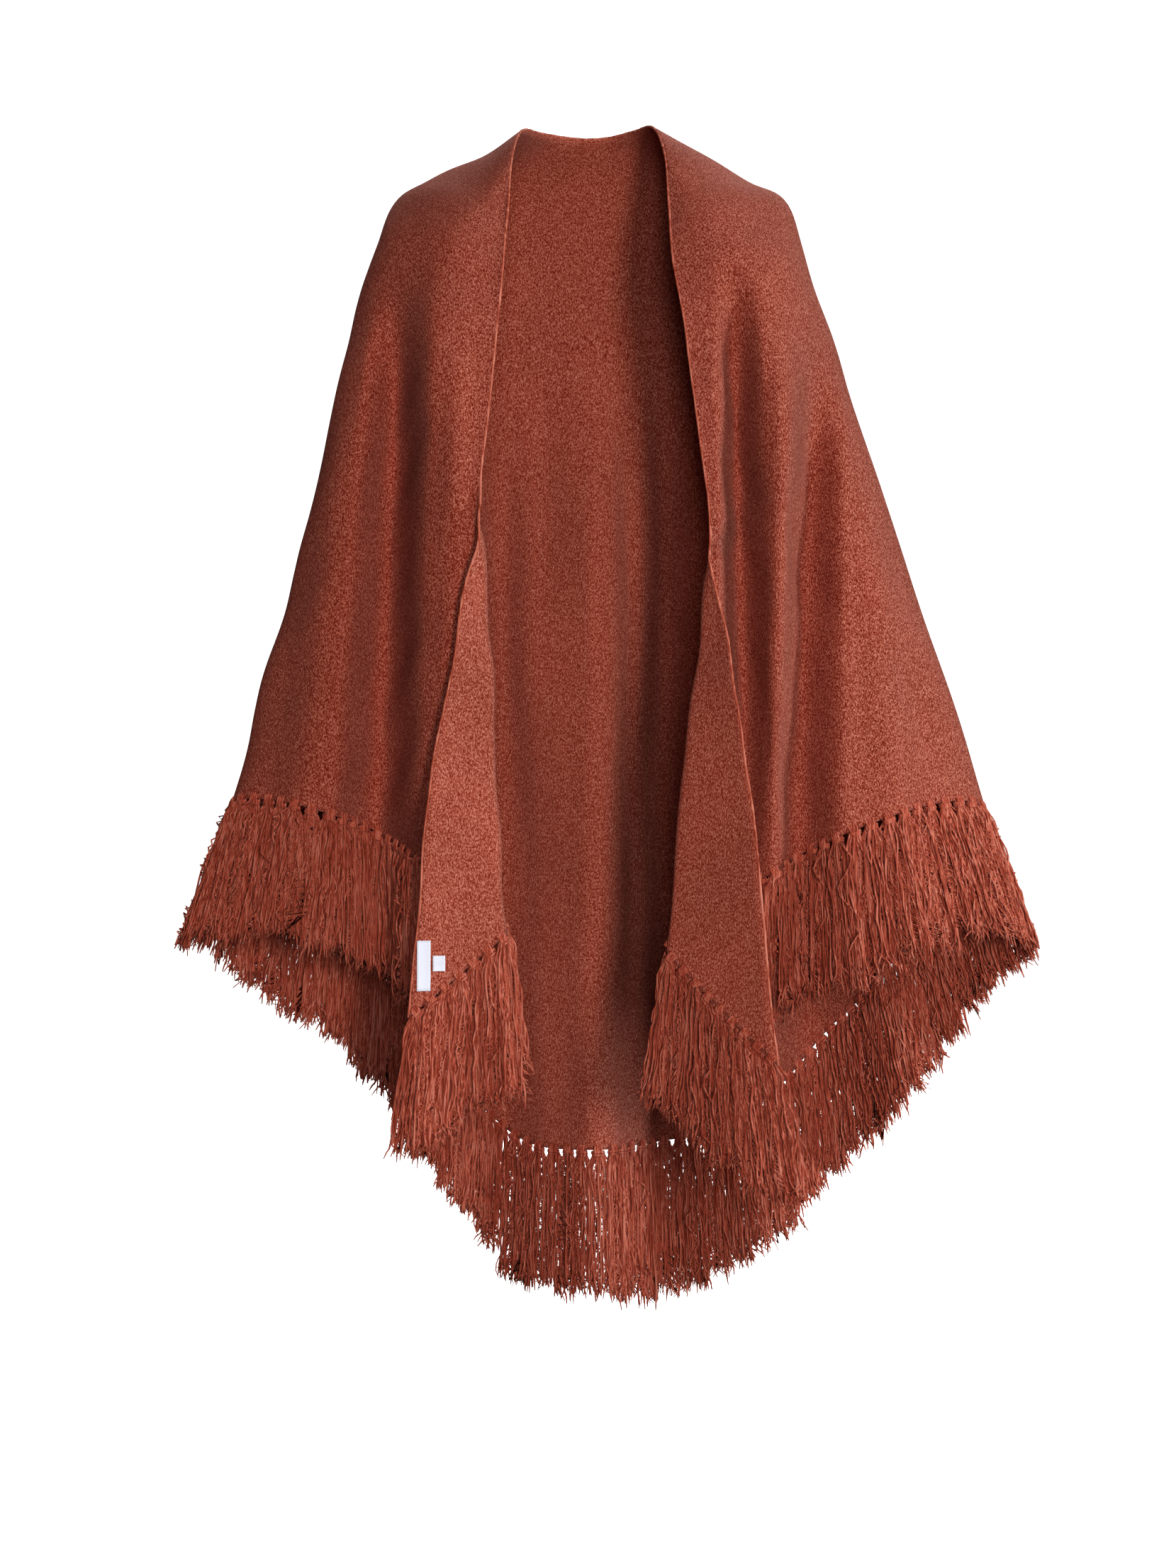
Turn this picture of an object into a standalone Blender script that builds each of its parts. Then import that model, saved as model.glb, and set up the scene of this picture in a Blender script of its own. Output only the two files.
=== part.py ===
"""A knitted shawl with knotted fringe, filled out as it is worn open at the front.

Units are metres, Z is up and the front faces minus Y. The origin is the middle of the
shoulder line, between the two points where the long edge passes the neck.
The cloth is one sheet. Its rows run round the figure from one front edge to the other,
and its columns run from the long edge at the neck down to the fringed hem.
"""
import math

import bmesh
import bpy
import numpy as np
from mathutils import Vector
from mathutils.bvhtree import BVHTree

NAME = "knitted_shawl_cape"

# Driving dimensions
WALL = 0.0025           # thickness of the knit
GAP = 0.0003            # space between pieces that meet
ROLL_RADIUS = 0.0065    # radius of the turn where a front edge folds back
ROLL_LEFT = math.radians(168)       # how far round the left front edge turns
ROLL_RIGHT = math.radians(148)
SIDE_FORWARD = 0.026    # how far the side folds lie in front of the shoulder line, low down
EDGE_BAND = 0.026       # least width of the fine columns beside a front edge
ROWS = 18
BAND_TURN = 5           # columns across the turn of the front edge
BAND_FLAT = 3           # columns from the turn to the front edge
FRONT_COLUMNS = 15
BACK_COLUMNS = 42
CUT_Y = 0.008           # the plane of the shoulder lines, where back and fronts part
STRIP_DROP = 0.004      # height of the strip that holds the fringe
STRIP_WALL = 0.0025
HEM_GAP = 0.00045       # space between the hem and the strip
TASSEL_STEP = 0.018
TASSEL_LEAST = 0.0138    # least distance between two tassels
TASSEL_ROOT = 0.0075
FRINGE_LENGTH = 0.142
LOCK_STEPS = (0.07, 0.42, 0.74, 1.0)
LOCK_WIDTHS = (1.0, 1.1, 1.0, 0.45)

# Sections of the draped cloth from the long edge at the neck (0) to the hem (1).
# Each section passes these stations: front edge, chest, side, shoulder blade, hem corner.
COLUMNS = ("share", "front_x", "front_y", "front_z", "chest_x", "chest_y", "chest_z",
           "side_x", "side_z", "blade_x", "blade_y", "blade_z", "corner_x", "corner_y", "corner_z")
LEFT = (
    (0.000, 0.077, -0.078, -0.088, 0.074, -0.045, -0.035, 0.065, 0.000,
     0.046, 0.046, 0.006, 0.021, 0.067, 0.006),
    (0.056, 0.081, -0.098, -0.140, 0.099, -0.072, -0.075, 0.103, -0.027,
     0.080, 0.070, -0.022, 0.036, 0.092, -0.030),
    (0.124, 0.086, -0.112, -0.200, 0.132, -0.094, -0.118, 0.158, -0.050,
     0.122, 0.092, -0.064, 0.057, 0.112, -0.076),
    (0.202, 0.093, -0.126, -0.275, 0.160, -0.104, -0.182, 0.1955, -0.084,
     0.152, 0.112, -0.132, 0.072, 0.127, -0.150),
    (0.236, 0.0962, -0.130, -0.3029, 0.1677, -0.106, -0.2087, 0.204, -0.1115,
     0.1601, 0.1173, -0.1625, 0.0758, 0.1309, -0.1856),
    (0.360, 0.0993, -0.140, -0.387, 0.180, -0.110, -0.300, 0.231, -0.200,
     0.172, 0.124, -0.275, 0.080, 0.136, -0.325),
    (0.469, 0.0712, -0.142, -0.453, 0.1857, -0.109, -0.3694, 0.2519, -0.285,
     0.1773, 0.1245, -0.3665, 0.0821, 0.1384, -0.4366),
    (0.596, 0.046, -0.142, -0.530, 0.192, -0.110, -0.445, 0.273, -0.385,
     0.184, 0.122, -0.470, 0.083, 0.140, -0.565),
    (0.798, 0.012, -0.142, -0.665, 0.214, -0.109, -0.570, 0.3125, -0.530,
     0.210, 0.119, -0.640, 0.082, 0.142, -0.790),
    (1.000, -0.028, -0.142, -0.863, 0.228, -0.104, -0.681, 0.347, -0.665,
     0.225, 0.112, -0.795, 0.078, 0.142, -1.008),
)
RIGHT = (
    (0.000, 0.078, -0.078, -0.088, 0.075, -0.045, -0.033, 0.064, 0.003,
     0.045, 0.046, 0.008, 0.021, 0.067, 0.006),
    (0.056, 0.081, -0.098, -0.140, 0.100, -0.072, -0.072, 0.103, -0.019,
     0.080, 0.070, -0.020, 0.037, 0.092, -0.030),
    (0.124, 0.091, -0.112, -0.200, 0.137, -0.094, -0.116, 0.158, -0.050,
     0.124, 0.092, -0.062, 0.060, 0.112, -0.076),
    (0.202, 0.102, -0.122, -0.285, 0.168, -0.108, -0.182, 0.1975, -0.082,
     0.156, 0.112, -0.132, 0.077, 0.127, -0.150),
    (0.236, 0.1065, -0.1249, -0.3185, 0.1765, -0.1119, -0.2105, 0.208, -0.1115,
     0.1654, 0.1173, -0.1641, 0.082, 0.1309, -0.1863),
    (0.360, 0.1123, -0.130, -0.4236, 0.190, -0.118, -0.310, 0.236, -0.200,
     0.184, 0.124, -0.285, 0.092, 0.136, -0.330),
    (0.428, 0.0915, -0.1316, -0.460, 0.1955, -0.1192, -0.3549, 0.2527, -0.2535,
     0.1928, 0.1248, -0.3472, 0.0965, 0.1383, -0.4018),
    (0.596, 0.0502, -0.133, -0.550, 0.208, -0.118, -0.450, 0.2985, -0.390,
     0.215, 0.122, -0.495, 0.106, 0.143, -0.570),
    (0.798, -0.0037, -0.133, -0.690, 0.234, -0.115, -0.575, 0.344, -0.530,
     0.256, 0.120, -0.680, 0.118, 0.148, -0.790),
    (1.000, -0.0777, -0.133, -0.904, 0.256, -0.109, -0.688, 0.388, -0.669,
     0.285, 0.117, -0.855, 0.130, 0.152, -1.004),
)
# The middle of the back: share, x, y, z
BACK = (
    (0.000, 0.000, 0.070, 0.005),
    (0.056, 0.000, 0.096, -0.032),
    (0.124, 0.000, 0.117, -0.080),
    (0.202, 0.000, 0.131, -0.155),
    (0.360, 0.000, 0.138, -0.335),
    (0.596, 0.004, 0.142, -0.580),
    (0.798, 0.008, 0.144, -0.805),
    (1.000, 0.012, 0.144, -1.018),
)
# Where each front edge folds back: height, distance from the middle at the left, at the right
FOLD_LINE = (
    (-0.300, 0.060, 0.060),
    (-0.352, 0.0925, 0.093),
    (-0.388, 0.1025, 0.106),
    (-0.424, 0.0990, 0.1155),
    (-0.457, 0.0960, 0.1108),
    (-0.530, 0.0900, 0.102),
    (-0.630, 0.0870, 0.0915),
    (-0.770, 0.0790, 0.0765),
    (-0.920, 0.0720, 0.060),
)
# Soft folds: place, x and z where it starts, x and z low down, depth towards the body,
# width to its left and to its right
FOLDS = (
    ("front_left", -0.176, -0.120, -0.206, -0.720, 0.072, 0.044, 0.046),
    ("front_left", -0.122, -0.180, -0.136, -0.740, -0.008, 0.026, 0.026),
    ("front_left", -0.226, -0.180, -0.282, -0.720, -0.010, 0.034, 0.034),
    ("front_right", 0.138, -0.120, 0.153, -0.740, 0.054, 0.026, 0.034),
    ("front_right", 0.186, -0.160, 0.181, -0.740, -0.012, 0.022, 0.030),
    ("front_right", 0.219, -0.200, 0.195, -0.720, 0.054, 0.030, 0.046),
    ("front_right", 0.264, -0.300, 0.300, -0.700, -0.010, 0.036, 0.036),
    ("back", -0.006, -0.160, -0.006, -1.020, 0.026, 0.062, 0.050),
    ("back", 0.024, -0.160, 0.024, -1.020, 0.022, 0.050, 0.024),
    ("back", -0.090, -0.160, -0.088, -1.020, -0.028, 0.038, 0.042),
    ("back", 0.078, -0.180, 0.082, -1.020, -0.034, 0.034, 0.044),
    ("back", 0.140, -0.200, 0.170, -0.980, 0.034, 0.040, 0.048),
    ("back", 0.194, -0.260, 0.240, -0.930, -0.022, 0.040, 0.040),
    ("back", 0.236, -0.380, 0.302, -0.860, 0.026, 0.036, 0.036),
    ("back", -0.134, -0.200, -0.150, -0.960, 0.024, 0.046, 0.044),
    ("back", -0.184, -0.240, -0.210, -0.900, -0.012, 0.040, 0.040),
    ("back", -0.214, -0.360, -0.262, -0.820, 0.026, 0.036, 0.036),
)
# Length of the tassels against FRINGE_LENGTH: x of the root, at the front, at the back
REACH = (
    (-0.36, 1.00, 0.96),
    (-0.27, 0.90, 0.93),
    (-0.17, 0.97, 0.90),
    (-0.12, 1.00, 0.76),
    (-0.07, 1.00, 1.00),
    (0.00, 1.00, 1.04),
    (0.09, 1.00, 1.05),
    (0.14, 1.00, 0.97),
    (0.20, 1.00, 0.92),
    (0.27, 0.98, 0.93),
    (0.33, 0.98, 0.80),
    (0.39, 1.00, 0.88),
)
# Names of the fringe pieces along the hem and how many columns each one takes
FRINGES = (
    ("fringe_edge_left", 8), ("fringe_front_left_inner", 8), ("fringe_front_left_outer", 7),
    ("fringe_side_left", 7), ("fringe_back_left_outer", 7), ("fringe_back_left_inner", 7),
    ("fringe_back_right_inner", 7), ("fringe_back_right_outer", 7), ("fringe_side_right", 7),
    ("fringe_front_right_outer", 7), ("fringe_front_right_inner", 8), ("fringe_edge_right", 8),
)
# Blank labels on the inside face of the left front: x and z of the middle, width, height, tilt
LABELS = (
    ("label_woven_blank", -0.1530, -0.8150, 0.012, 0.046, 0.000),
    ("tag_small_blank", -0.1390, -0.8130, 0.011, 0.014, 0.000),
)
LABEL_WALL = 0.0010


def spline(knots, values, at):
    """Smooth curve through the values, one row for each knot, read at the given places."""
    knots = np.asarray(knots, float)
    values = np.asarray(values, float)
    at = np.clip(np.asarray(at, float), knots[0], knots[-1])
    steps = np.diff(knots)
    slopes = np.diff(values, axis=0) / steps[:, None]
    tangents = np.empty_like(values)
    tangents[0] = slopes[0]
    tangents[-1] = slopes[-1]
    before = steps[:-1, None]
    after = steps[1:, None]
    tangents[1:-1] = (slopes[:-1] * after + slopes[1:] * before) / (before + after)
    cell = np.clip(np.searchsorted(knots, at, side="right") - 1, 0, len(steps) - 1)
    h = steps[cell][:, None]
    t = ((at - knots[cell]) / steps[cell])[:, None]
    p0, p1 = values[cell], values[cell + 1]
    m0, m1 = tangents[cell] * h, tangents[cell + 1] * h
    return (p0 * (2 * t**3 - 3 * t**2 + 1) + m0 * (t**3 - 2 * t**2 + t)
            + p1 * (3 * t**2 - 2 * t**3) + m1 * (t**3 - t**2))


def smooth_step(value):
    value = np.clip(value, 0.0, 1.0)
    return value * value * (3.0 - 2.0 * value)


def side_stations(table, sign, share):
    """Front edge, chest, side, blade and corner of one side at a share of the way down."""
    rows = np.array(table)
    row = dict(zip(COLUMNS[1:], spline(rows[:, 0], rows[:, 1:], [share])[0]))
    row["side_y"] = -SIDE_FORWARD * smooth_step(share / 0.6)
    names = ("front", "chest", "side", "blade", "corner")
    return [(sign * row[n + "_x"], row[n + "_y"], row[n + "_z"]) for n in names]


def ring(share):
    """Dense points of one row of the cloth from the left front edge to the right one."""
    back = np.array(BACK)
    middle = tuple(spline(back[:, 0], back[:, 1:], [share])[0])
    left = side_stations(LEFT, -1.0, share)
    right = side_stations(RIGHT, 1.0, share)
    stations = np.array(left + [middle] + right[::-1])
    chords = np.linalg.norm(np.diff(stations, axis=0), axis=1) ** 0.5
    knots = np.concatenate([[0.0], np.cumsum(chords)])
    at = np.concatenate([np.linspace(a, b, 60)[:-1] for a, b in zip(knots, knots[1:])] + [[knots[-1]]])
    points = spline(knots, stations, at)
    lengths = np.concatenate([[0.0], np.cumsum(np.linalg.norm(np.diff(points, axis=0), axis=1))])
    sides = lengths[2 * 59], lengths[-1 - 2 * 59]
    return points, lengths, sides


def past_fold(points, side):
    """How far points lie past the line where this front folds back, towards the middle."""
    line = np.array(FOLD_LINE)
    column = 1 if side < 0 else 2
    fold = spline(-line[:, 0], line[:, column:column + 1], -points[:, 2])[:, 0] + ROLL_RADIUS
    past = fold - side * points[:, 0]
    return np.where(points[:, 2] > -0.30, -0.1, past)


def band_places(points, lengths, side):
    """Lengths from the front edge of the fine columns beside it."""
    past = past_fold(points, side)
    reach = lengths < 0.30
    falling = past[reach]
    along = lengths[reach]
    turn = math.pi * ROLL_RADIUS
    fold_at = np.interp(0.0, -falling, along) if falling[0] > 0 else 0.0
    turn_at = np.interp(-turn, -falling, along) if falling[0] > turn else 0.0
    width = max(fold_at, EDGE_BAND)
    across = min(width - turn_at if turn_at else width, 0.62 * width)
    flat = np.linspace(0.0, width - across, BAND_FLAT + 1)
    return np.concatenate([flat[:-1], np.linspace(width - across, width, BAND_TURN + 1)])


def add_folds(points, place):
    """Move points in and out for the soft folds of one place on the figure."""
    moved = points.copy()
    for name, x0, z0, x1, z1, depth, left, right in FOLDS:
        if name != place:
            continue
        down = np.clip((z0 - points[:, 2]) / (z0 - z1), 0.0, 1.05)
        centre = x0 + (x1 - x0) * down
        grow = smooth_step(down / 0.30) * (0.78 + 0.22 * down)
        half = np.where(points[:, 0] < centre, left, right) * (0.75 + 0.35 * down)
        across = np.clip(np.abs(points[:, 0] - centre) / half, 0.0, 1.0)
        shape = 0.5 + 0.5 * np.cos(math.pi * across)
        inward = 1.0 if place.startswith("front") else -1.0
        moved[:, 1] += inward * depth * grow * shape
    return moved


def roll_edge(points, side):
    """Fold the front edge back on itself past the fold line."""
    past = past_fold(points, side)
    over = np.maximum(past, 0.0)
    angle = np.minimum(over / ROLL_RADIUS, ROLL_LEFT if side < 0 else ROLL_RIGHT)
    rest = over - ROLL_RADIUS * angle
    inward = ROLL_RADIUS * np.sin(angle) + rest * np.cos(angle)
    forward = ROLL_RADIUS * (1.0 - np.cos(angle)) + rest * np.sin(angle)
    moved = points.copy()
    moved[:, 0] += side * over - side * inward
    wave = 0.004 * np.sin(points[:, 2] * 34.0 + side) * np.clip(rest / 0.05, 0.0, 1.0)
    moved[:, 1] -= forward + wave
    return moved


def cloth_row(share):
    """Points of one row of the cloth, one for each column."""
    points, lengths, (left_side, right_side) = ring(share)
    total = lengths[-1]
    left_band = band_places(points, lengths, -1.0)
    right_band = total - band_places(points[::-1], total - lengths[::-1], 1.0)[::-1]
    left_front = np.linspace(left_band[-1], left_side, FRONT_COLUMNS + 1)[1:]
    back = np.linspace(left_side, right_side, BACK_COLUMNS + 1)[1:]
    right_front = np.linspace(right_side, right_band[0], FRONT_COLUMNS + 1)[1:-1]
    places = np.concatenate([left_band, left_front, back, right_front, right_band])
    row = np.stack([np.interp(places, lengths, points[:, k]) for k in range(3)], axis=1)
    front = BAND_FLAT + BAND_TURN + FRONT_COLUMNS
    left, middle, right = row[:front], row[front:-front], row[-front:]
    left = roll_edge(add_folds(left, "front_left"), -1.0)
    right = roll_edge(add_folds(right, "front_right"), 1.0)
    return np.concatenate([left, add_folds(middle, "back"), right])


def cloth_grid(rows=ROWS):
    """All the points of the cloth, rows from the neck to the hem."""
    shares = np.linspace(0.0, 1.0, rows + 1)
    return np.array([cloth_row(share) for share in shares])


def make_material(name, colour, roughness):
    material = bpy.data.materials.new(name)
    material.use_nodes = True
    shader = material.node_tree.nodes["Principled BSDF"]
    shader.inputs["Base Color"].default_value = (*colour, 1.0)
    shader.inputs["Roughness"].default_value = roughness
    material.diffuse_color = (*colour, 1.0)
    return material


def add_object(name, bm, colour, roughness=0.9):
    """Keep a finished bmesh as an object of the collection, with its own material."""
    bmesh.ops.triangulate(bm, faces=bm.faces[:])
    bmesh.ops.recalc_face_normals(bm, faces=bm.faces[:])
    if bm.calc_volume(signed=True) < 0:
        bmesh.ops.reverse_faces(bm, faces=bm.faces[:])
    mesh = bpy.data.meshes.new(name)
    bm.to_mesh(mesh)
    bm.free()
    thing = bpy.data.objects.new(name, mesh)
    mesh.materials.append(make_material(name + "_material", colour, roughness))
    bpy.data.collections[NAME].objects.link(thing)
    return thing


def cloth_solid(grid):
    """The whole cloth as a closed wall centred on the grid of points, and the hem's wall directions."""
    rows, columns = grid.shape[0] - 1, grid.shape[1] - 1
    bm = bmesh.new()
    bmesh.ops.create_grid(bm, x_segments=columns, y_segments=rows, size=1.0)
    for vert in bm.verts:
        column = round((vert.co.x + 1.0) * columns / 2.0)
        row = round((1.0 - vert.co.y) * rows / 2.0)
        vert.co = grid[row, column]
    bmesh.ops.recalc_face_normals(bm, faces=bm.faces[:])
    bm.normal_update()
    hem = np.zeros((columns + 1, 3))
    normals = [vert.normal.copy() for vert in bm.verts]
    for number, vert in enumerate(bm.verts):
        if number <= columns:       # the first row of the grid lies at the hem
            hem[number] = normals[number]
        vert.co -= normals[number] * (WALL / 2.0)
    bmesh.ops.solidify(bm, geom=bm.faces[:], thickness=-WALL)
    bmesh.ops.triangulate(bm, faces=bm.faces[:])
    return bm, hem


def cut_part(whole, direction):
    """A copy of the wall on one side of the shoulder plane: direction 1 is the back, -1 the fronts."""
    part = whole.copy()
    place = Vector((0.0, CUT_Y + direction * GAP / 2.0, 0.0))
    bmesh.ops.bisect_plane(part, geom=part.verts[:] + part.edges[:] + part.faces[:], dist=1e-6,
                           plane_co=place, plane_no=Vector((0.0, -direction, 0.0)), clear_outer=True)
    bmesh.ops.holes_fill(part, edges=[e for e in part.edges if e.is_boundary], sides=0)
    return part


def joined_to(start):
    """Every vertex that edges join to the start."""
    found = {start}
    waiting = [start]
    while waiting:
        vert = waiting.pop()
        for edge in vert.link_edges:
            other = edge.other_vert(vert)
            if other not in found:
                found.add(other)
                waiting.append(other)
    return found


def keep_side(fronts, side):
    """A copy of the two fronts with only the one on this side."""
    part = fronts.copy()
    kept = joined_to(max(part.verts, key=lambda v: v.co.x * side))
    bmesh.ops.delete(part, geom=[v for v in part.verts if v not in kept], context="VERTS")
    return part


def hem_frames(grid, through):
    """Points of the hem with the way along it, out of the cloth's edge, and through the wall."""
    hem, above = grid[-1], grid[-2]
    steps = np.diff(hem, axis=0)
    steps /= np.linalg.norm(steps, axis=1)[:, None]
    along = np.concatenate([steps[:1], steps[:-1] + steps[1:], steps[-1:]])
    along /= np.linalg.norm(along, axis=1)[:, None]
    down = hem - above
    out = np.cross(through, along)
    out /= np.linalg.norm(out, axis=1)[:, None]
    out *= np.sign(np.sum(out * down, axis=1))[:, None]
    down /= np.linalg.norm(down, axis=1)[:, None]
    return hem, along, out, through, down


def between(values, place):
    """Read rows of values at a whole or part number."""
    low = min(int(place), len(values) - 2)
    part = place - low
    return values[low] * (1.0 - part) + values[low + 1] * part


def tassel_places(hem):
    """Start and end of each tassel's root along the hem, in columns, each kept inside one column."""
    lengths = np.concatenate([[0.0], np.cumsum(np.linalg.norm(np.diff(hem, axis=0), axis=1))])
    count = int(lengths[-1] / TASSEL_STEP)
    half = TASSEL_ROOT / 2.0
    places = []
    before = -1.0
    for middle in (np.arange(count) + 0.5) * lengths[-1] / count:
        middle = max(middle, before + TASSEL_LEAST)
        column = min(int(np.searchsorted(lengths, middle) - 1), len(lengths) - 2)
        start, end = lengths[column], lengths[column + 1]
        if end - start < TASSEL_ROOT + 0.003 or middle > end:
            continue
        middle = min(max(middle, start + half + 0.0015), end - half - 0.0015)
        if middle - before < TASSEL_LEAST:
            continue
        before = middle
        places.append((column + (middle - half - start) / (end - start),
                       column + (middle + half - start) / (end - start)))
    return places


def strip_section(frames, place):
    """Four corners of the strip at one place: top inside, top outside, bottom outside, bottom inside."""
    hem, along, out, through, down = (between(values, place) for values in frames)
    out = out / np.linalg.norm(out)
    through = through / np.linalg.norm(through) * STRIP_WALL / 2.0
    top = hem + out * HEM_GAP
    bottom = hem + out * (HEM_GAP + STRIP_DROP)
    return [Vector(p) for p in (top - through, top + through, bottom + through, bottom - through)]


def loft(bm, sections):
    """A closed tube through sections of four corners. Returns its bottom faces in order."""
    rings = [[bm.verts.new(p) for p in section] for section in sections]
    bottoms = []
    for low, high in zip(rings, rings[1:]):
        faces = [bm.faces.new((low[k], low[(k + 1) % 4], high[(k + 1) % 4], high[k])) for k in range(4)]
        bottoms.append(faces[2])
    bm.faces.new(rings[0])
    bm.faces.new(rings[-1][::-1])
    return bottoms


def lock_path(frames, place, number):
    """Middle points of one lock from its root to its tip, and its two width directions."""
    hem, along, out, through, down = (between(values, place) for values in frames)
    root = hem + out * (HEM_GAP + STRIP_DROP)
    hang = down + np.array([0.245 * root[0], 0.10 * root[1], -0.10])
    hang /= np.linalg.norm(hang)
    table = np.array(REACH)
    length = FRINGE_LENGTH * np.interp(root[0], table[:, 0], table[:, 1 if root[1] < 0.0 else 2])
    length *= 1.0 + 0.05 * math.sin(number * 2.4) + 0.03 * math.sin(number * 5.1)
    flat = np.array([along[0], along[1], 0.0])
    level = np.linalg.norm(flat)
    flat /= level
    depth = np.cross(flat, hang)
    depth /= np.linalg.norm(depth)
    points = []
    for step in LOCK_STEPS:
        sway = 0.0015 * math.sin(number * 1.9 + step * 5.0) * step
        points.append(root + hang * length * step + flat * sway)
    return points, flat, depth, level


def draw_lock(bm, face, frames, place, number):
    """Draw one lock out of a bottom face of the strip."""
    points, flat, depth, level = lock_path(frames, place, number)
    middle = face.calc_center_median()
    half = min(0.0050, 0.29 * TASSEL_STEP * level)
    for centre, share in zip(points, LOCK_WIDTHS):
        marks = [(v.co - middle) for v in face.verts]
        signs = [(np.sign(m.dot(Vector(flat))), np.sign(m.dot(Vector(depth)))) for m in marks]
        before = [v.co.copy() for v in face.verts]
        face = bmesh.ops.extrude_discrete_faces(bm, faces=[face])["faces"][0]
        for vert in face.verts:
            k = min(range(4), key=lambda n: (before[n] - vert.co).length)
            a, b = signs[k]
            vert.co = Vector(centre + flat * (a * half * share) + depth * (b * 0.0034 * share))
        middle = Vector(centre)


def make_fringe(name, frames, first, last):
    """A narrow strip along part of the hem, with the locks of the fringe drawn out of it."""
    roots = [root for root in tassel_places(frames[0]) if first < root[0] < last]
    width = np.linalg.norm(np.diff(frames[0], axis=0), axis=1)
    ends = (first + GAP / 2.0 / width[first], last - GAP / 2.0 / width[last - 1])
    places = sorted({ends[0], ends[1], *range(first + 1, last), *(p for root in roots for p in root)})
    bm = bmesh.new()
    bottoms = loft(bm, [strip_section(frames, place) for place in places])
    for low, high in roots:
        face = bottoms[places.index(low)]
        draw_lock(bm, face, frames, (low + high) / 2.0, first * 3.1 + low)
    return add_object(name, bm, (0.50, 0.20, 0.13)), len(roots)


def make_label(name, tree, x, z, width, height, tilt):
    """A thin blank label lying on the inside face of the turned back edge."""
    bm = bmesh.new()
    bmesh.ops.create_grid(bm, x_segments=2, y_segments=4, size=0.5)
    for vert in bm.verts:
        across, up = vert.co.x * width, vert.co.y * height
        px = x + across * math.cos(tilt) + up * math.sin(tilt)
        pz = z - across * math.sin(tilt) + up * math.cos(tilt)
        hit, normal, _, _ = tree.ray_cast(Vector((px, -0.5, pz)), Vector((0.0, 1.0, 0.0)))
        vert.co = hit + Vector((0.0, -1.0, 0.0)) * (GAP * 1.3)
    bmesh.ops.recalc_face_normals(bm, faces=bm.faces[:])
    facing = sum(face.normal.y for face in bm.faces)
    if facing > 0:
        bmesh.ops.reverse_faces(bm, faces=bm.faces[:])
    bm.normal_update()
    lower = bm.faces[:]
    grown = bmesh.ops.extrude_face_region(bm, geom=lower)["geom"]
    for vert in [g for g in grown if isinstance(g, bmesh.types.BMVert)]:
        vert.co.y -= LABEL_WALL
    return add_object(name, bm, (0.82, 0.80, 0.84), 0.8)


def clear_scene():
    for thing in list(bpy.data.objects):
        bpy.data.objects.remove(thing, do_unlink=True)
    home = bpy.data.collections.new(NAME)
    bpy.context.scene.collection.children.link(home)


def main():
    clear_scene()
    grid = cloth_grid()
    whole, walls = cloth_solid(grid)
    frames = hem_frames(grid, walls)
    tree = BVHTree.FromBMesh(whole)
    knit = (0.43, 0.15, 0.10)
    add_object("shawl_back", cut_part(whole, 1.0), knit)
    fronts = cut_part(whole, -1.0)
    add_object("shawl_front_left", keep_side(fronts, -1.0), knit)
    add_object("shawl_front_right", keep_side(fronts, 1.0), knit)
    first = 0
    for name, columns in FRINGES:
        make_fringe(name, frames, first, first + columns)
        first += columns
    for name, x, z, width, height, tilt in LABELS:
        make_label(name, tree, x, z, width, height, tilt)


main()
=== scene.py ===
import bpy
import bmesh
import math
import numpy as np
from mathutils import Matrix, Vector
from mathutils.bvhtree import BVHTree


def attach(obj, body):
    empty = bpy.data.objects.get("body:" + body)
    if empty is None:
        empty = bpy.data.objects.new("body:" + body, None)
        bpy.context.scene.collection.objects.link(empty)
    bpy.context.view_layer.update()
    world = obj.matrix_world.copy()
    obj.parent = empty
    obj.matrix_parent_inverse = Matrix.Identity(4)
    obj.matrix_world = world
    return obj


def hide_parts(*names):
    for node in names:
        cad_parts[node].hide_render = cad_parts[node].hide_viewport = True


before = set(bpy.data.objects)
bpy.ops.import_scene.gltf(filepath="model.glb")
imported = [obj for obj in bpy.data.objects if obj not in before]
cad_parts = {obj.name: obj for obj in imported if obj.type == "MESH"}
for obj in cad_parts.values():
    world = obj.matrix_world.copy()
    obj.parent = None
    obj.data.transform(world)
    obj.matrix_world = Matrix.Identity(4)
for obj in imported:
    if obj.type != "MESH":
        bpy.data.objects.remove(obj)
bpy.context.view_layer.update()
print("frame loaded")

# The cloth has the same sections, fold lines and folds as the CAD. Lengths are in metres.
cloth = {
    "wall": 0.0021,          # thickness of the knit
    "rollRadius": 0.0065,    # turn of each front edge
    "rollLeft": math.radians(168),
    "rollRight": math.radians(148),
    "sideForward": 0.026,    # how far the side folds lie in front of the shoulder line, low down
    "edgeBand": 0.026,       # least width of the fine columns beside a front edge
    "rows": 120,
    "turnColumns": 10,
    "flatColumns": 12,
    "frontColumns": 48,
    "backColumns": 168,
    "samples": 60,           # points read between two stations of a row
    "foldStarts": -0.30,     # height below which the front edges fold back
    "edgeReach": 0.30,       # how far from a front edge its fold line is looked for
}
stationNames = ("share", "frontX", "frontY", "frontZ", "chestX", "chestY", "chestZ",
                "sideX", "sideZ", "bladeX", "bladeY", "bladeZ", "cornerX", "cornerY", "cornerZ")
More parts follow.
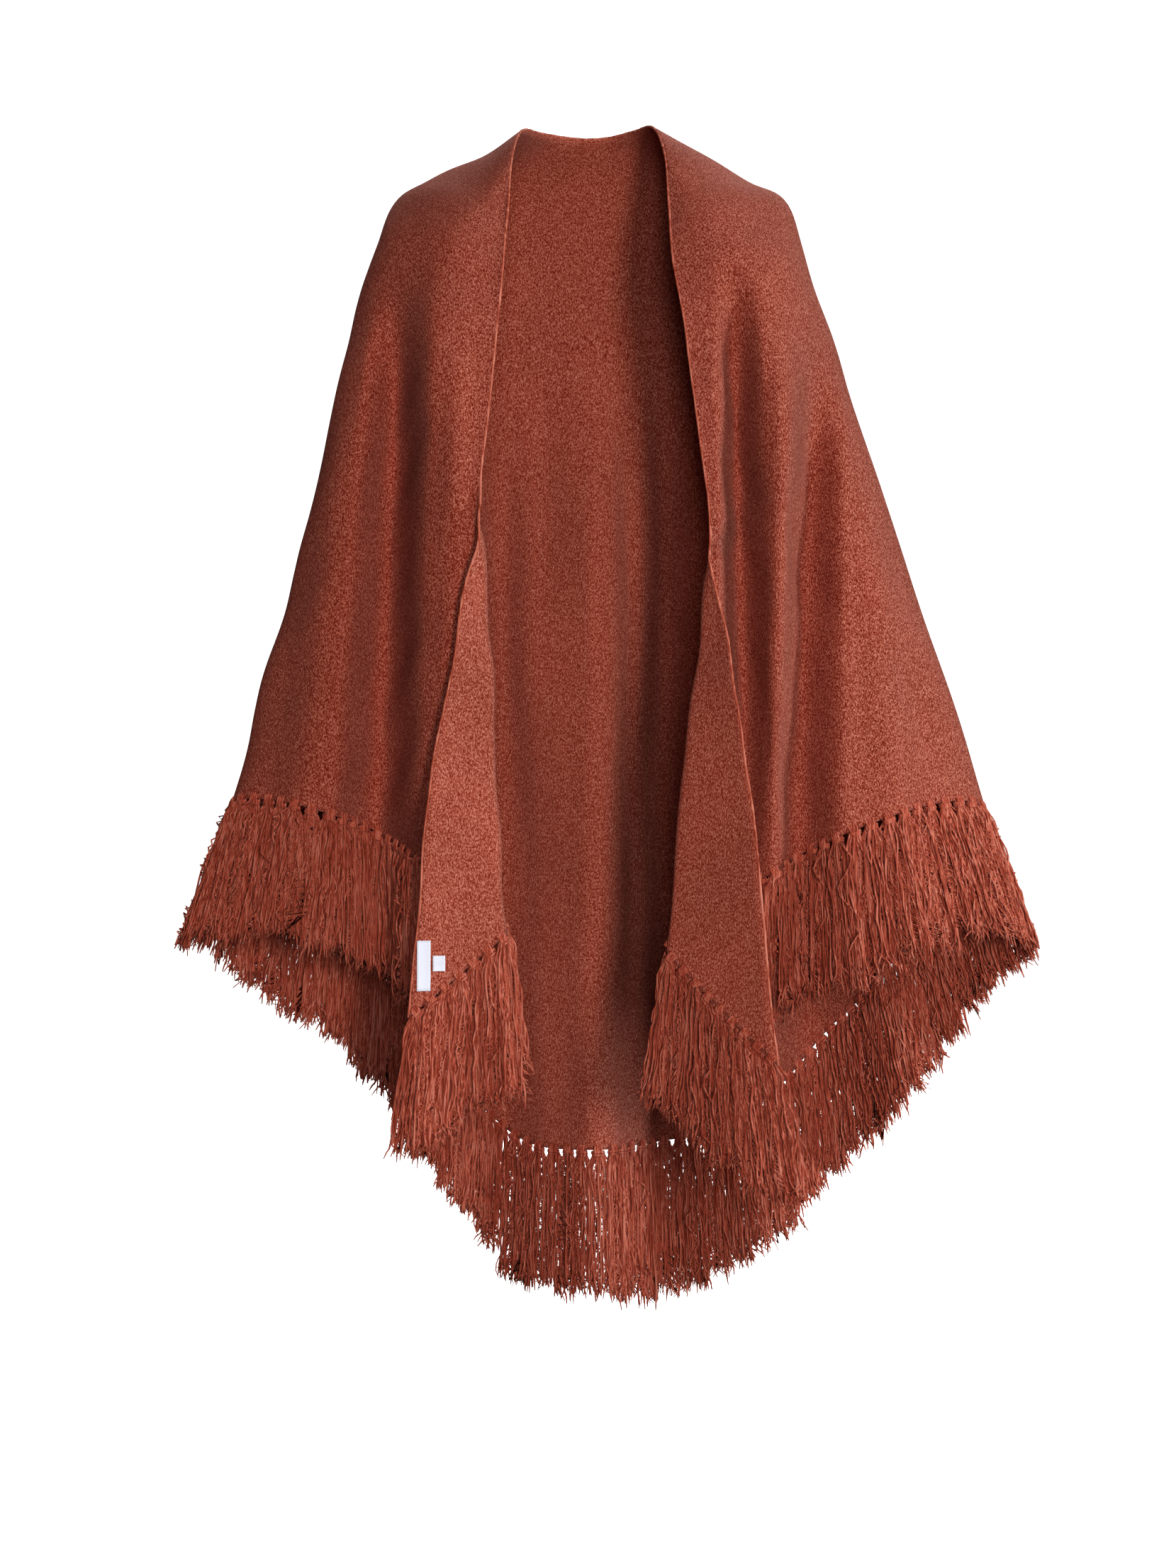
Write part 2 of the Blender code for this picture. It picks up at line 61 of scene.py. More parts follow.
leftSections = (
    (0.000, 0.077, -0.078, -0.088, 0.074, -0.045, -0.035, 0.065, 0.000,
     0.046, 0.046, 0.006, 0.021, 0.067, 0.006),
    (0.056, 0.081, -0.098, -0.140, 0.099, -0.072, -0.075, 0.103, -0.027,
     0.080, 0.070, -0.022, 0.036, 0.092, -0.030),
    (0.124, 0.086, -0.112, -0.200, 0.132, -0.094, -0.118, 0.158, -0.050,
     0.122, 0.092, -0.064, 0.057, 0.112, -0.076),
    (0.202, 0.093, -0.126, -0.275, 0.160, -0.104, -0.182, 0.1955, -0.084,
     0.152, 0.112, -0.132, 0.072, 0.127, -0.150),
    (0.236, 0.0962, -0.130, -0.3029, 0.1677, -0.106, -0.2087, 0.204, -0.1115,
     0.1601, 0.1173, -0.1625, 0.0758, 0.1309, -0.1856),
    (0.360, 0.0993, -0.140, -0.387, 0.180, -0.110, -0.300, 0.231, -0.200,
     0.172, 0.124, -0.275, 0.080, 0.136, -0.325),
    (0.469, 0.0712, -0.142, -0.453, 0.1857, -0.109, -0.3694, 0.2519, -0.285,
     0.1773, 0.1245, -0.3665, 0.0821, 0.1384, -0.4366),
    (0.596, 0.046, -0.142, -0.530, 0.192, -0.110, -0.445, 0.273, -0.385,
     0.184, 0.122, -0.470, 0.083, 0.140, -0.565),
    (0.798, 0.012, -0.142, -0.665, 0.214, -0.109, -0.570, 0.3125, -0.530,
     0.210, 0.119, -0.640, 0.082, 0.142, -0.790),
    (1.000, -0.028, -0.142, -0.863, 0.228, -0.104, -0.681, 0.347, -0.665,
     0.225, 0.112, -0.795, 0.078, 0.142, -1.008),
)
rightSections = (
    (0.000, 0.078, -0.078, -0.088, 0.075, -0.045, -0.033, 0.064, 0.003,
     0.045, 0.046, 0.008, 0.021, 0.067, 0.006),
    (0.056, 0.081, -0.098, -0.140, 0.100, -0.072, -0.072, 0.103, -0.019,
     0.080, 0.070, -0.020, 0.037, 0.092, -0.030),
    (0.124, 0.091, -0.112, -0.200, 0.137, -0.094, -0.116, 0.158, -0.050,
     0.124, 0.092, -0.062, 0.060, 0.112, -0.076),
    (0.202, 0.102, -0.122, -0.285, 0.168, -0.108, -0.182, 0.1975, -0.082,
     0.156, 0.112, -0.132, 0.077, 0.127, -0.150),
    (0.236, 0.1065, -0.1249, -0.3185, 0.1765, -0.1119, -0.2105, 0.208, -0.1115,
     0.1654, 0.1173, -0.1641, 0.082, 0.1309, -0.1863),
    (0.360, 0.1123, -0.130, -0.4236, 0.190, -0.118, -0.310, 0.236, -0.200,
     0.184, 0.124, -0.285, 0.092, 0.136, -0.330),
    (0.428, 0.0915, -0.1316, -0.460, 0.1955, -0.1192, -0.3549, 0.2527, -0.2535,
     0.1928, 0.1248, -0.3472, 0.0965, 0.1383, -0.4018),
    (0.596, 0.0502, -0.133, -0.550, 0.208, -0.118, -0.450, 0.2985, -0.390,
     0.215, 0.122, -0.495, 0.106, 0.143, -0.570),
    (0.798, -0.0037, -0.133, -0.690, 0.234, -0.115, -0.575, 0.344, -0.530,
     0.256, 0.120, -0.680, 0.118, 0.148, -0.790),
    (1.000, -0.0777, -0.133, -0.904, 0.256, -0.109, -0.688, 0.388, -0.669,
     0.285, 0.117, -0.855, 0.130, 0.152, -1.004),
)
backMiddle = (      # share, x, y, z
    (0.000, 0.000, 0.070, 0.005),
    (0.056, 0.000, 0.096, -0.032),
    (0.124, 0.000, 0.117, -0.080),
    (0.202, 0.000, 0.131, -0.155),
    (0.360, 0.000, 0.138, -0.335),
    (0.596, 0.004, 0.142, -0.580),
    (0.798, 0.008, 0.144, -0.805),
    (1.000, 0.012, 0.144, -1.018),
)
foldLine = (        # height, distance from the middle at the left, at the right
    (-0.300, 0.060, 0.060),
    (-0.352, 0.0925, 0.093),
    (-0.388, 0.1025, 0.106),
    (-0.424, 0.0990, 0.1155),
    (-0.457, 0.0960, 0.1108),
    (-0.530, 0.0900, 0.102),
    (-0.630, 0.0870, 0.0915),
    (-0.770, 0.0790, 0.0765),
    (-0.920, 0.0720, 0.060),
)
# One row of softFolds: place, x and z at the top, x and z low down, depth towards the body,
# width at the left and at the right. A depth below nought is a ridge.
softFolds = (
    ("frontLeft", -0.176, -0.120, -0.206, -0.720, 0.072, 0.044, 0.046),
    ("frontLeft", -0.122, -0.180, -0.136, -0.740, -0.008, 0.026, 0.026),
    ("frontLeft", -0.226, -0.180, -0.282, -0.720, -0.010, 0.034, 0.034),
    ("frontRight", 0.138, -0.120, 0.153, -0.740, 0.054, 0.026, 0.034),
    ("frontRight", 0.186, -0.160, 0.181, -0.740, -0.012, 0.022, 0.030),
    ("frontRight", 0.219, -0.200, 0.195, -0.720, 0.054, 0.030, 0.046),
    ("frontRight", 0.264, -0.300, 0.300, -0.700, -0.010, 0.036, 0.036),
    ("back", -0.006, -0.160, -0.006, -1.020, 0.026, 0.062, 0.050),
    ("back", 0.024, -0.160, 0.024, -1.020, 0.022, 0.050, 0.024),
    ("back", -0.090, -0.160, -0.088, -1.020, -0.028, 0.038, 0.042),
    ("back", 0.078, -0.180, 0.082, -1.020, -0.034, 0.034, 0.044),
    ("back", 0.140, -0.200, 0.170, -0.980, 0.034, 0.040, 0.048),
    ("back", 0.194, -0.260, 0.240, -0.930, -0.022, 0.040, 0.040),
    ("back", 0.236, -0.380, 0.302, -0.860, 0.026, 0.036, 0.036),
    ("back", -0.134, -0.200, -0.150, -0.960, 0.024, 0.046, 0.044),
    ("back", -0.184, -0.240, -0.210, -0.900, -0.012, 0.040, 0.040),
    ("back", -0.214, -0.360, -0.262, -0.820, 0.026, 0.036, 0.036),
)


def spline(knots, values, at):
    knots = np.asarray(knots, float)
    values = np.asarray(values, float)
    at = np.clip(np.asarray(at, float), knots[0], knots[-1])
    steps = np.diff(knots)
    slopes = np.diff(values, axis=0) / steps[:, None]
    tangents = np.empty_like(values)
    tangents[0] = slopes[0]
    tangents[-1] = slopes[-1]
    before = steps[:-1, None]
    after = steps[1:, None]
    tangents[1:-1] = (slopes[:-1] * after + slopes[1:] * before) / (before + after)
    cell = np.clip(np.searchsorted(knots, at, side="right") - 1, 0, len(steps) - 1)
    h = steps[cell][:, None]
    t = ((at - knots[cell]) / steps[cell])[:, None]
    p0, p1 = values[cell], values[cell + 1]
    m0, m1 = tangents[cell] * h, tangents[cell + 1] * h
    return (p0 * (2 * t**3 - 3 * t**2 + 1) + m0 * (t**3 - 2 * t**2 + t)
            + p1 * (3 * t**2 - 2 * t**3) + m1 * (t**3 - t**2))


def smoothStep(value):
    value = np.clip(value, 0.0, 1.0)
    return value * value * (3.0 - 2.0 * value)


def sideStations(table, sign, share):
    rows = np.array(table)
    row = dict(zip(stationNames[1:], spline(rows[:, 0], rows[:, 1:], [share])[0]))
    row["sideY"] = -cloth["sideForward"] * smoothStep(share / 0.6)
    names = ("front", "chest", "side", "blade", "corner")
    return [(sign * row[n + "X"], row[n + "Y"], row[n + "Z"]) for n in names]


def ringPoints(share):     # one row of the cloth, from the left front edge round to the right one
    back = np.array(backMiddle)
    middle = tuple(spline(back[:, 0], back[:, 1:], [share])[0])
    left = sideStations(leftSections, -1.0, share)
    right = sideStations(rightSections, 1.0, share)
    stations = np.array(left + [middle] + right[::-1])
    chords = np.linalg.norm(np.diff(stations, axis=0), axis=1) ** 0.5
    knots = np.concatenate([[0.0], np.cumsum(chords)])
    samples = cloth["samples"]
    parts = [np.linspace(a, b, samples)[:-1] for a, b in zip(knots, knots[1:])]
    points = spline(knots, stations, np.concatenate(parts + [[knots[-1]]]))
    lengths = np.concatenate([[0.0], np.cumsum(np.linalg.norm(np.diff(points, axis=0), axis=1))])
    sideAt = 2 * (samples - 1)       # the side is the third station from either end
    return points, lengths, (lengths[sideAt], lengths[-1 - sideAt])


def pastFold(points, side):     # how far points lie past the line where this front folds back
    line = np.array(foldLine)
    column = 1 if side < 0 else 2
    fold = spline(-line[:, 0], line[:, column:column + 1], -points[:, 2])[:, 0] + cloth["rollRadius"]
    past = fold - side * points[:, 0]
    return np.where(points[:, 2] > cloth["foldStarts"], -0.1, past)


def bandPlaces(points, lengths, side):     # the fine columns beside a front edge
    reach = lengths < cloth["edgeReach"]
    falling = pastFold(points, side)[reach]
    along = lengths[reach]
    turn = math.pi * cloth["rollRadius"]
    foldAt = np.interp(0.0, -falling, along) if falling[0] > 0 else 0.0
    turnAt = np.interp(-turn, -falling, along) if falling[0] > turn else 0.0
    width = max(foldAt, cloth["edgeBand"])
    across = min(width - turnAt if turnAt else width, 0.62 * width)
    flat = np.linspace(0.0, width - across, cloth["flatColumns"] + 1)
    return np.concatenate([flat[:-1], np.linspace(width - across, width, cloth["turnColumns"] + 1)])


def addFolds(points, place):
    moved = points.copy()
    for name, x0, z0, x1, z1, depth, left, right in softFolds:
        if name != place:
            continue
        down = np.clip((z0 - points[:, 2]) / (z0 - z1), 0.0, 1.05)
        centre = x0 + (x1 - x0) * down
        grow = smoothStep(down / 0.30) * (0.78 + 0.22 * down)
        half = np.where(points[:, 0] < centre, left, right) * (0.75 + 0.35 * down)
        across = np.clip(np.abs(points[:, 0] - centre) / half, 0.0, 1.0)
        shape = 0.5 + 0.5 * np.cos(math.pi * across)
        moved[:, 1] += (1.0 if place.startswith("front") else -1.0) * depth * grow * shape
    return moved


def rollEdge(points, side):     # folds a front edge back on itself
    over = np.maximum(pastFold(points, side), 0.0)
    radius = cloth["rollRadius"]
    angle = np.minimum(over / radius, cloth["rollLeft" if side < 0 else "rollRight"])
    rest = over - radius * angle
    inward = radius * np.sin(angle) + rest * np.cos(angle)
    forward = radius * (1.0 - np.cos(angle)) + rest * np.sin(angle)
    moved = points.copy()
    moved[:, 0] += side * over - side * inward
    wave = 0.004 * np.sin(points[:, 2] * 34.0 + side) * np.clip(rest / 0.05, 0.0, 1.0)
    moved[:, 1] -= forward + wave
    return moved


def clothRow(share):
    points, lengths, (leftSide, rightSide) = ringPoints(share)
    total = lengths[-1]
    leftBand = bandPlaces(points, lengths, -1.0)
    rightBand = total - bandPlaces(points[::-1], total - lengths[::-1], 1.0)[::-1]
    leftFront = np.linspace(leftBand[-1], leftSide, cloth["frontColumns"] + 1)[1:]
    back = np.linspace(leftSide, rightSide, cloth["backColumns"] + 1)[1:]
    rightFront = np.linspace(rightSide, rightBand[0], cloth["frontColumns"] + 1)[1:-1]
    places = np.concatenate([leftBand, leftFront, back, rightFront, rightBand])
    row = np.stack([np.interp(places, lengths, points[:, k]) for k in range(3)], axis=1)
    front = cloth["flatColumns"] + cloth["turnColumns"] + cloth["frontColumns"]
    left, middle, right = row[:front], row[front:-front], row[-front:]
    left = rollEdge(addFolds(left, "frontLeft"), -1.0)
    right = rollEdge(addFolds(right, "frontRight"), 1.0)
    return np.concatenate([left, addFolds(middle, "back"), right])


def clothGrid():
    return np.array([clothRow(share) for share in np.linspace(0.0, 1.0, cloth["rows"] + 1)])


def gridNormals(grid):
    across = np.gradient(grid, axis=1)
    down = np.gradient(grid, axis=0)
    normals = np.cross(across, down)
    return normals / np.linalg.norm(normals, axis=2)[:, :, None]


def finishMesh(name, bm, materials):
    mesh = bpy.data.meshes.new(name)
    bm.to_mesh(mesh)
    bm.free()
    piece = bpy.data.objects.new(name, mesh)
    bpy.context.scene.collection.objects.link(piece)
    for material in materials:
        mesh.materials.append(material)
    mesh.polygons.foreach_set("use_smooth", [True] * len(mesh.polygons))
    return piece


def sweepMany(bm, paths, radii, sides):
    # draws many thin strands at once: paths is strands x points x 3, radii is strands x points
    count, steps = paths.shape[:2]
    tangents = np.gradient(paths, axis=1)
    tangents /= np.linalg.norm(tangents, axis=2)[:, :, None]
    first = np.cross(tangents, np.array([0.31, 0.94, 0.12]))
    first /= np.linalg.norm(first, axis=2)[:, :, None]
    second = np.cross(tangents, first)
    angles = np.arange(sides) * 2 * math.pi / sides
    rings = (paths[:, :, None, :] + radii[:, :, None, None]
             * (first[:, :, None, :] * np.cos(angles)[None, None, :, None]
                + second[:, :, None, :] * np.sin(angles)[None, None, :, None]))
    tips = [bm.faces.new([bm.verts.new(p) for p in rings[k, 0]]) for k in range(count)]
    for step in range(1, steps):
        tips = bmesh.ops.extrude_discrete_faces(bm, faces=tips)["faces"]
        for k, face in enumerate(tips):
            for side, vert in enumerate(face.verts):
                vert.co = rings[k, step, side]
    bmesh.ops.holes_fill(bm, edges=[e for e in bm.edges if e.is_boundary], sides=sides)


def newGroup(name, inputs, outputs):
    group = bpy.data.node_groups.new(name, "ShaderNodeTree")
    for label, kind, value in inputs:
        socket = group.interface.new_socket(name=label, in_out="INPUT", socket_type="NodeSocket" + kind)
        if value is not None:
            socket.default_value = value
    for label, kind in outputs:
        group.interface.new_socket(name=label, in_out="OUTPUT", socket_type="NodeSocket" + kind)
    return group, group.nodes.new("NodeGroupInput"), group.nodes.new("NodeGroupOutput")


def addNode(tree, kind, values=None, **settings):
    node = tree.nodes.new("ShaderNode" + kind)
    for key, value in settings.items():
        setattr(node, key, value)
    for key, value in (values or {}).items():
        node.inputs[key].default_value = value
    return node


def mathNode(tree, operation, a, b=None):
    node = addNode(tree, "Math", operation=operation)
    for socket, value in zip(node.inputs, (a, b)):
        if value is None:
            continue
        if isinstance(value, (int, float)):
            socket.default_value = value
        else:
            tree.links.new(value, socket)
    return node.outputs[0]


def makeStitchGroup():     # stockinette: rows of V stitches from the cloth's own coordinates in metres
    group, inside, outside = newGroup("stitchRows",
        [("Cloth", "Vector", None), ("Wale", "Float", 0.003), ("Course", "Float", 0.0022)],
        [("Height", "Float"), ("Groove", "Float")])
    link = group.links.new
    split = addNode(group, "SeparateXYZ")
    link(inside.outputs["Cloth"], split.inputs[0])
    across = mathNode(group, "DIVIDE", split.outputs["X"], inside.outputs["Wale"])
    leg = mathNode(group, "ABSOLUTE", mathNode(group, "SUBTRACT", mathNode(group, "FRACT", across), 0.5))
    down = mathNode(group, "DIVIDE", split.outputs["Y"], inside.outputs["Course"])
    slant = mathNode(group, "ADD", down, mathNode(group, "MULTIPLY", leg, 1.3))
    loops = mathNode(group, "SINE", mathNode(group, "MULTIPLY", slant, math.pi))
    loops = mathNode(group, "POWER", mathNode(group, "ABSOLUTE", loops), 0.6)
    ribs = mathNode(group, "SINE", mathNode(group, "MULTIPLY", across, 2 * math.pi))
    ribs = mathNode(group, "POWER", mathNode(group, "ABSOLUTE", ribs), 0.5)
    height = mathNode(group, "MULTIPLY", loops, ribs)
    link(height, outside.inputs["Height"])
    # Groove marks the hollows between the loops, where the knit paints shade into its colour.
    link(mathNode(group, "SUBTRACT", 1.0, height), outside.inputs["Groove"])
    return group


def makeHeatherGroup():     # mottled dye of the yarn: three tones mixed by noise of two sizes
    group, inside, outside = newGroup("heather",
        [("Vector", "Vector", None), ("Base", "Color", None), ("Light", "Color", None),
         ("Dark", "Color", None), ("Scale", "Float", 260.0), ("Amount", "Float", 0.5)],
        [("Color", "Color")])
    link = group.links.new
    fine = addNode(group, "TexNoise", {"Detail": 3.0, "Roughness": 0.65})
    broad = addNode(group, "TexNoise", {"Scale": 9.0, "Detail": 2.0, "Roughness": 0.5})
    link(inside.outputs["Vector"], fine.inputs["Vector"])
    link(inside.outputs["Scale"], fine.inputs["Scale"])
    link(inside.outputs["Vector"], broad.inputs["Vector"])
    lift = addNode(group, "MapRange", {"From Min": 0.48, "From Max": 0.64})
    drop = addNode(group, "MapRange", {"From Min": 0.50, "From Max": 0.35})
    link(fine.outputs["Fac"], lift.inputs["Value"])
    link(fine.outputs["Fac"], drop.inputs["Value"])
    lightMix = addNode(group, "Mix", data_type="RGBA")
    darkMix = addNode(group, "Mix", data_type="RGBA")
    link(mathNode(group, "MULTIPLY", lift.outputs[0], inside.outputs["Amount"]), lightMix.inputs[0])
    link(mathNode(group, "MULTIPLY", drop.outputs[0], inside.outputs["Amount"]), darkMix.inputs[0])
    link(inside.outputs["Base"], lightMix.inputs[6])
    link(inside.outputs["Light"], lightMix.inputs[7])
    link(lightMix.outputs[2], darkMix.inputs[6])
    link(inside.outputs["Dark"], darkMix.inputs[7])
    tone = addNode(group, "HueSaturation")
    value = addNode(group, "MapRange", {"From Min": 0.3, "From Max": 0.7, "To Min": 0.93, "To Max": 1.07})
    link(broad.outputs["Fac"], value.inputs["Value"])
    link(value.outputs[0], tone.inputs["Value"])
    link(darkMix.outputs[2], tone.inputs["Color"])
    link(tone.outputs[0], outside.inputs["Color"])
    return group


stitchGroup = makeStitchGroup()
heatherGroup = makeHeatherGroup()

def dye(base, light, dark):
    return {"Base": (*base, 1), "Light": (*light, 1), "Dark": (*dark, 1)}


dyes = {
    "knit": dye((0.335, 0.058, 0.032), (0.62, 0.235, 0.170), (0.16, 0.018, 0.009)),
    # The wrong side's tones are lighter than the knit's: painted light that brightens the inside of the
    # shawl and the turned back edges. Its stitches are also turned as purl.
    "wrongSideWithPaintedLight": dye((0.400, 0.078, 0.044), (0.68, 0.270, 0.200), (0.20, 0.025, 0.013)),
    "yarn": dye((0.400, 0.086, 0.051), (0.66, 0.250, 0.180), (0.15, 0.016, 0.008)),
    # The edge roll is dyed lighter than the knit: a painted highlight along the rim of the cloth.
    "edge": dye((0.440, 0.110, 0.068), (0.64, 0.240, 0.170), (0.24, 0.036, 0.018)),
}


def startMaterial(name, roughness, sheen, sheenTint):
    material = bpy.data.materials.new(name)
    material.use_nodes = True
    shader = material.node_tree.nodes["Principled BSDF"]
    shader.inputs["Roughness"].default_value = roughness
    shader.inputs["Specular IOR Level"].default_value = 0.10
    shader.inputs["Sheen Weight"].default_value = sheen
    shader.inputs["Sheen Roughness"].default_value = 0.45
    shader.inputs["Sheen Tint"].default_value = sheenTint
    return material, material.node_tree, shader


def addHeather(tree, vector, tones, scale, amount):
    heather = addNode(tree, "Group", node_tree=heatherGroup)
    tree.links.new(vector, heather.inputs["Vector"])
    for label, colour in tones.items():
        heather.inputs[label].default_value = colour
    heather.inputs["Scale"].default_value = scale
    heather.inputs["Amount"].default_value = amount
    return heather


def makeKnit(name, tones, wale, course):
    material, tree, shader = startMaterial(name, 0.95, 0.08, (1.0, 0.70, 0.62, 1))
    link = tree.links.new
    cloth2d = addNode(tree, "UVMap", uv_map="clothMetres")
    place = addNode(tree, "TexCoord")
    stretch = addNode(tree, "Mapping", {"Scale": (1.0, 1.0, 0.55)})
    link(place.outputs["Object"], stretch.inputs["Vector"])
    heather = addHeather(tree, stretch.outputs[0], tones, 900.0, 1.0)
    stitch = addNode(tree, "Group", node_tree=stitchGroup)
    link(cloth2d.outputs[0], stitch.inputs["Cloth"])
    stitch.inputs["Wale"].default_value = wale
    stitch.inputs["Course"].default_value = course
    # painted shade: in the stitch grooves the dyed colour is multiplied by a dull pinkish grey, darkening
    # the hollows between the loops
    paintedGrooveShade = addNode(tree, "Mix", data_type="RGBA", blend_type="MULTIPLY")
    link(mathNode(tree, "MULTIPLY", stitch.outputs["Groove"], 0.35), paintedGrooveShade.inputs[0])
    link(heather.outputs["Color"], paintedGrooveShade.inputs[6])
    paintedGrooveShade.inputs[7].default_value = (0.55, 0.42, 0.40, 1)
    link(paintedGrooveShade.outputs[2], shader.inputs["Base Color"])
    nap = addNode(tree, "TexNoise", {"Scale": 420.0, "Detail": 2.0, "Roughness": 0.7})
    link(place.outputs["Object"], nap.inputs["Vector"])
    loops = mathNode(tree, "MULTIPLY", stitch.outputs["Height"], 0.6)
    total = mathNode(tree, "ADD", loops, nap.outputs["Fac"])
    bump = addNode(tree, "Bump", {"Strength": 0.75, "Distance": 0.0010})
    link(total, bump.inputs["Height"])
    link(bump.outputs[0], shader.inputs["Normal"])
    return material


def makeYarn(name, tones, scaleAcross, amount):
    material, tree, shader = startMaterial(name, 0.9, 0.06, (1.0, 0.66, 0.56, 1))
    place = addNode(tree, "TexCoord")
    stretch = addNode(tree, "Mapping", {"Scale": (1.0, 1.0, 0.025)})
    tree.links.new(place.outputs["Object"], stretch.inputs["Vector"])
    heather = addHeather(tree, stretch.outputs[0], tones, scaleAcross, amount)
    tree.links.new(heather.outputs["Color"], shader.inputs["Base Color"])
    twist = addNode(tree, "TexNoise", {"Scale": 700.0, "Detail": 2.0})
    tree.links.new(place.outputs["Object"], twist.inputs["Vector"])
    bump = addNode(tree, "Bump", {"Strength": 0.4, "Distance": 0.0005})
    tree.links.new(twist.outputs["Fac"], bump.inputs["Height"])
    tree.links.new(bump.outputs[0], shader.inputs["Normal"])
    return material


def makeTape():
    material, tree, shader = startMaterial("wovenTape", 0.7, 0.2, (1.0, 1.0, 1.0, 1))
    place = addNode(tree, "TexCoord")
    weave = addNode(tree, "TexWave", {"Scale": 700.0, "Distortion": 0.4}, bands_direction="Z")
    tone = addNode(tree, "Mix", data_type="RGBA")
    tree.links.new(place.outputs["Object"], weave.inputs["Vector"])
    tree.links.new(weave.outputs["Fac"], tone.inputs[0])
    tone.inputs[6].default_value = (0.66, 0.62, 0.72, 1)
    tone.inputs[7].default_value = (0.80, 0.77, 0.84, 1)
    tree.links.new(tone.outputs[2], shader.inputs["Base Color"])
    bump = addNode(tree, "Bump", {"Strength": 0.3, "Distance": 0.0003})
    tree.links.new(weave.outputs["Fac"], bump.inputs["Height"])
    tree.links.new(bump.outputs[0], shader.inputs["Normal"])
    return material


knitMaterial = makeKnit("heatheredKnit", dyes["knit"], 0.003, 0.0022)
wrongSidePaintedLightMaterial = makeKnit("heatheredKnitWrongSidePaintedLight", dyes["wrongSideWithPaintedLight"], 0.0022, 0.003)
yarnMaterial = makeYarn("pliedYarn", dyes["yarn"], 420.0, 0.6)
edgeHighlightMaterial = makeYarn("edgeYarnPaintedHighlight", dyes["edge"], 300.0, 0.8)
tapeMaterial = makeTape()
print("materials made")


def softUneven(grid, across, down, normals):     # low troughs that no ruler drew
    rise = (0.0011 * np.sin(across * 41.0 + 3.0 * np.sin(down * 5.1) + 0.7)
            + 0.0008 * np.sin(across * 67.0 - down * 9.0 + 2.1)
            + 0.0009 * np.sin(down * 19.0 + across * 11.0 + 1.3))
    fade = smoothStep(down / 0.12)
    return grid + normals * (rise * fade)[:, :, None]


def makeCloth():
    grid = clothGrid()
    rows, columns = grid.shape[0] - 1, grid.shape[1] - 1
    acrossSteps = np.linalg.norm(np.diff(grid, axis=1), axis=2)
    downSteps = np.linalg.norm(np.diff(grid, axis=0), axis=2)
    along = np.concatenate([np.zeros((rows + 1, 1)), np.cumsum(acrossSteps, axis=1)], axis=1)
    along -= along[:, columns // 2][:, None]
    down = np.concatenate([np.zeros((1, columns + 1)), np.cumsum(downSteps, axis=0)], axis=0)
    grid = softUneven(grid, along, down, gridNormals(grid))
    bm = bmesh.new()
    bmesh.ops.create_grid(bm, x_segments=columns, y_segments=rows, size=1.0)
    uvs = bm.loops.layers.uv.new("clothMetres")
    places = {}
    for vert in bm.verts:
        column = round((vert.co.x + 1.0) * columns / 2.0)
        row = round((1.0 - vert.co.y) * rows / 2.0)
        places[vert] = (along[row, column], down[row, column])
        vert.co = grid[row, column]
    for face in bm.faces:
        for loop in face.loops:
            loop[uvs].uv = places[loop.vert]
    bmesh.ops.recalc_face_normals(bm, faces=bm.faces[:])
    piece = finishMesh("shawlKnit", bm, [knitMaterial, wrongSidePaintedLightMaterial])
    wall = piece.modifiers.new("wall", "SOLIDIFY")
    wall.thickness = cloth["wall"]
    wall.offset = 0.0
    wall.material_offset = 1       # the side that faces the wearer, in the knit's lighter copy: painted light on the inside of the shawl
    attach(piece, "root")
    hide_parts("shawl_back", "shawl_front_left", "shawl_front_right")
    return piece, grid


clothPiece, clothPoints = makeCloth()
print("cloth made")


selvedge = {"radius": 0.0013, "sides": 6, "leastStep": 0.0035}


def makeSelvedge():     # a thin roll along the long edge, in a lighter dye that paints the highlight its rim catches
    path = np.concatenate([clothPoints[::-1, 0][:-1], clothPoints[0][:-1], clothPoints[:, -1]])
    keep = [0]
    for k in range(1, len(path)):
        if np.linalg.norm(path[k] - path[keep[-1]]) > selvedge["leastStep"]:
            keep.append(k)
    path = path[keep]
    wobble = 1.0 + 0.10 * np.sin(np.arange(len(path)) * 1.7)
    bm = bmesh.new()
    sweepMany(bm, path[None], (selvedge["radius"] * wobble)[None], selvedge["sides"])
    bmesh.ops.recalc_face_normals(bm, faces=bm.faces[:])
    piece = finishMesh("selvedgeRoll", bm, [edgeHighlightMaterial])
    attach(piece, "root")
    return piece


selvedgePiece = makeSelvedge()

fringe = {
    "spacing": 0.018,
    "length": 0.142,
    "yarns": 44,
    "steps": 20,
    "yarnSides": 3,
    "yarnRadius": 0.00098,
    "tipShare": 0.55,        # radius of the loose end against the yarn's
    "startDrop": 0.0025,     # how far below the hem the yarns start
    "bundle": 0.0042,        # half width of the yarns in their knot
    "bundleDeep": 0.0011,
    "hangDeep": 0.0024,
    "halfShare": 0.65,       # half width below the knot against the spacing
    "spreadBy": 0.10,        # share of the length where they have spread out
    "hookFrom": 0.80,        # share of the length where the loose ends start to curl
    "hook": 0.0050,
    "strayShare": 0.07,      # yarns that wave more than the others
    "stray": 3.0,
    "seed": 11,
}
knot = {
    "sides": 5,
    "radius": 0.00130,
    "turns": 3,
    "turnStep": 0.0017,
    "halfWidth": 0.0060,
    "halfDepth": 0.0030,
    "loops": 4,              # yarns that pass over the edge of the cloth
    "loopStep": 0.0022,
    "loopRise": 0.0085,
    "points": 11,
}
fringeReach = (       # x of the root, length against the fringe's length at the front, at the back
    (-0.36, 1.00, 0.96),
    (-0.27, 0.90, 0.93),
    (-0.17, 0.97, 0.90),
    (-0.12, 1.00, 0.76),
    (-0.07, 1.00, 1.00),
    (0.00, 1.00, 1.04),
    (0.09, 1.00, 1.05),
    (0.14, 1.00, 0.97),
    (0.20, 1.00, 0.92),
    (0.27, 0.98, 0.93),
    (0.33, 0.98, 0.80),
    (0.39, 1.00, 0.88),
)
